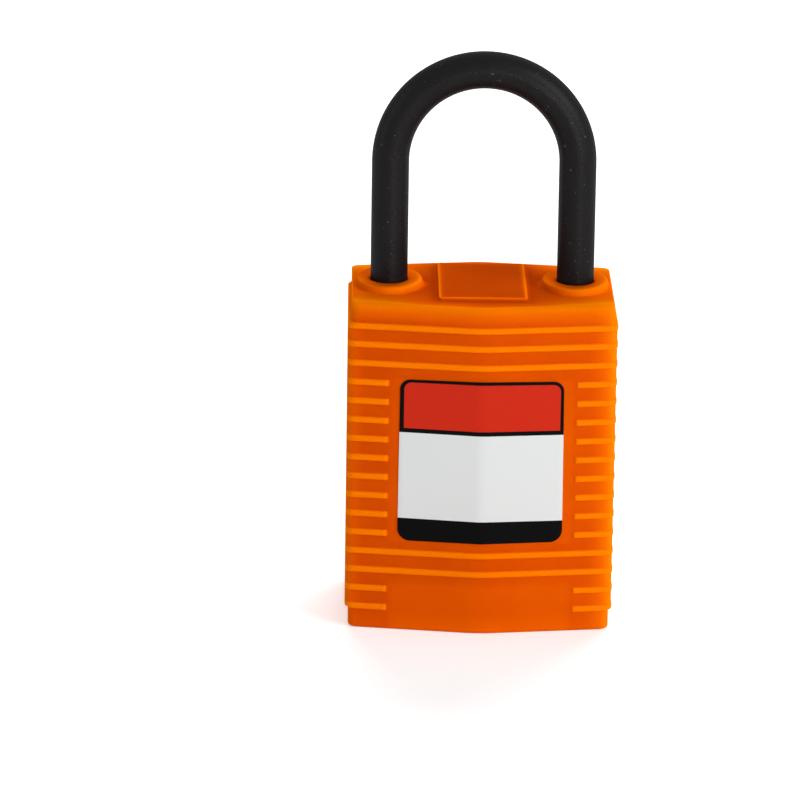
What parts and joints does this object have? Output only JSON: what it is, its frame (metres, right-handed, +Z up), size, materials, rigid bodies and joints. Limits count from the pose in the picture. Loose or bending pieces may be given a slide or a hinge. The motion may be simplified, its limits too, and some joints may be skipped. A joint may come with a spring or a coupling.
{
  "type": "lockout padlock",
  "caption": "Safety lockout padlock: ribbed moulded nylon body with ridged faces, slim nylon bow shackle and a slotted rotating core whose cam frees and lifts the shackle.",
  "frame": {"origin": "centre of the base of the body, on the plane it stands on", "axes": "+Z up through the bow of the shackle, -Y out of the labelled front face, +X towards the toe leg"},
  "size_m": [0.0348, 0.0266, 0.0744],
  "materials": {
    "body_nylon": "moulded orange nylon, satin",
    "black_nylon": "black nylon, fine matt",
    "label_vinyl": "printed vinyl in plain fields of colour",
    "core_brass": "turned brass",
    "core_steel": "plated steel",
    "spring_steel": "drawn spring wire"
  },
  "bodies": {
    "body": {"body_shell": "body_nylon", "bottom_cap": "body_nylon", "front_label": "label_vinyl", "core_carrier": "black_nylon", "core_sleeve": "core_brass", "pin_block": "core_brass", "cross_pin": "core_steel", "heel_pin": "core_steel", "shackle_spring": "spring_steel", "driver_spring_1": "spring_steel", "driver_spring_2": "spring_steel", "driver_spring_3": "spring_steel", "driver_spring_4": "spring_steel", "driver_spring_5": "spring_steel", "driver_spring_6": "spring_steel"},
    "core": {"face_plate": "core_steel", "rotor": "core_brass", "drive_spindle": "core_steel", "locking_cam": "core_steel", "cam_clip": "spring_steel"},
    "shackle": {"shackle": "black_nylon"},
    "tumbler_1": {"tumbler_pin_1": "core_brass"},
    "tumbler_2": {"tumbler_pin_2": "core_brass"},
    "tumbler_3": {"tumbler_pin_3": "core_brass"},
    "tumbler_4": {"tumbler_pin_4": "core_brass"},
    "tumbler_5": {"tumbler_pin_5": "core_brass"},
    "tumbler_6": {"tumbler_pin_6": "core_brass"},
    "driver_1": {"driver_pin_1": "core_steel"},
    "driver_2": {"driver_pin_2": "core_steel"},
    "driver_3": {"driver_pin_3": "core_steel"},
    "driver_4": {"driver_pin_4": "core_steel"},
    "driver_5": {"driver_pin_5": "core_steel"},
    "driver_6": {"driver_pin_6": "core_steel"}
  },
  "joints": [
    {"name": "core_turn", "type": "hinge", "parent": "body", "child": "core", "pos_m": [0, 0, 0.014], "axis": [0, 0, 1], "range_deg": [0, 90]},
    {"name": "shackle_lift", "type": "slide", "parent": "body", "child": "shackle", "axis": [0, 0, 1], "range_m": [0, 0.0106], "deforming": ["shackle_spring"]},
    {"name": "tumbler_1_slide", "type": "slide", "parent": "core", "child": "tumbler_1", "axis": [0, 0, 1], "range_m": [0, 0.0006], "stiffness_N_per_m": 30, "springref_m": -0.002},
    {"name": "tumbler_2_slide", "type": "slide", "parent": "core", "child": "tumbler_2", "axis": [0, 0, 1], "range_m": [0, 0.0012], "stiffness_N_per_m": 30, "springref_m": -0.002},
    {"name": "tumbler_3_slide", "type": "slide", "parent": "core", "child": "tumbler_3", "axis": [0, 0, 1], "range_m": [0, 0.0018], "stiffness_N_per_m": 30, "springref_m": -0.002},
    {"name": "tumbler_4_slide", "type": "slide", "parent": "core", "child": "tumbler_4", "axis": [0, 0, 1], "range_m": [0, 0.0009], "stiffness_N_per_m": 30, "springref_m": -0.002},
    {"name": "tumbler_5_slide", "type": "slide", "parent": "core", "child": "tumbler_5", "axis": [0, 0, 1], "range_m": [0, 0.0015], "stiffness_N_per_m": 30, "springref_m": -0.002},
    {"name": "tumbler_6_slide", "type": "slide", "parent": "core", "child": "tumbler_6", "axis": [0, 0, 1], "range_m": [0, 0.0012], "stiffness_N_per_m": 30, "springref_m": -0.002},
    {"name": "driver_1_slide", "type": "slide", "parent": "body", "child": "driver_1", "axis": [0, 0, 1], "range_m": [0, 0.0015], "stiffness_N_per_m": 30, "springref_m": -0.002, "deforming": ["driver_spring_1"]},
    {"name": "driver_2_slide", "type": "slide", "parent": "body", "child": "driver_2", "axis": [0, 0, 1], "range_m": [0, 0.0015], "stiffness_N_per_m": 30, "springref_m": -0.002, "deforming": ["driver_spring_2"]},
    {"name": "driver_3_slide", "type": "slide", "parent": "body", "child": "driver_3", "axis": [0, 0, 1], "range_m": [0, 0.0015], "stiffness_N_per_m": 30, "springref_m": -0.002, "deforming": ["driver_spring_3"]},
    {"name": "driver_4_slide", "type": "slide", "parent": "body", "child": "driver_4", "axis": [0, 0, 1], "range_m": [0, 0.0015], "stiffness_N_per_m": 30, "springref_m": -0.002, "deforming": ["driver_spring_4"]},
    {"name": "driver_5_slide", "type": "slide", "parent": "body", "child": "driver_5", "axis": [0, 0, 1], "range_m": [0, 0.0015], "stiffness_N_per_m": 30, "springref_m": -0.002, "deforming": ["driver_spring_5"]},
    {"name": "driver_6_slide", "type": "slide", "parent": "body", "child": "driver_6", "axis": [0, 0, 1], "range_m": [0, 0.0015], "stiffness_N_per_m": 30, "springref_m": -0.002, "deforming": ["driver_spring_6"]}
  ],
  "couplings": [
    {"joint": "core_turn", "follows": "shackle_lift", "rad_per_m": 148.18}
  ]
}
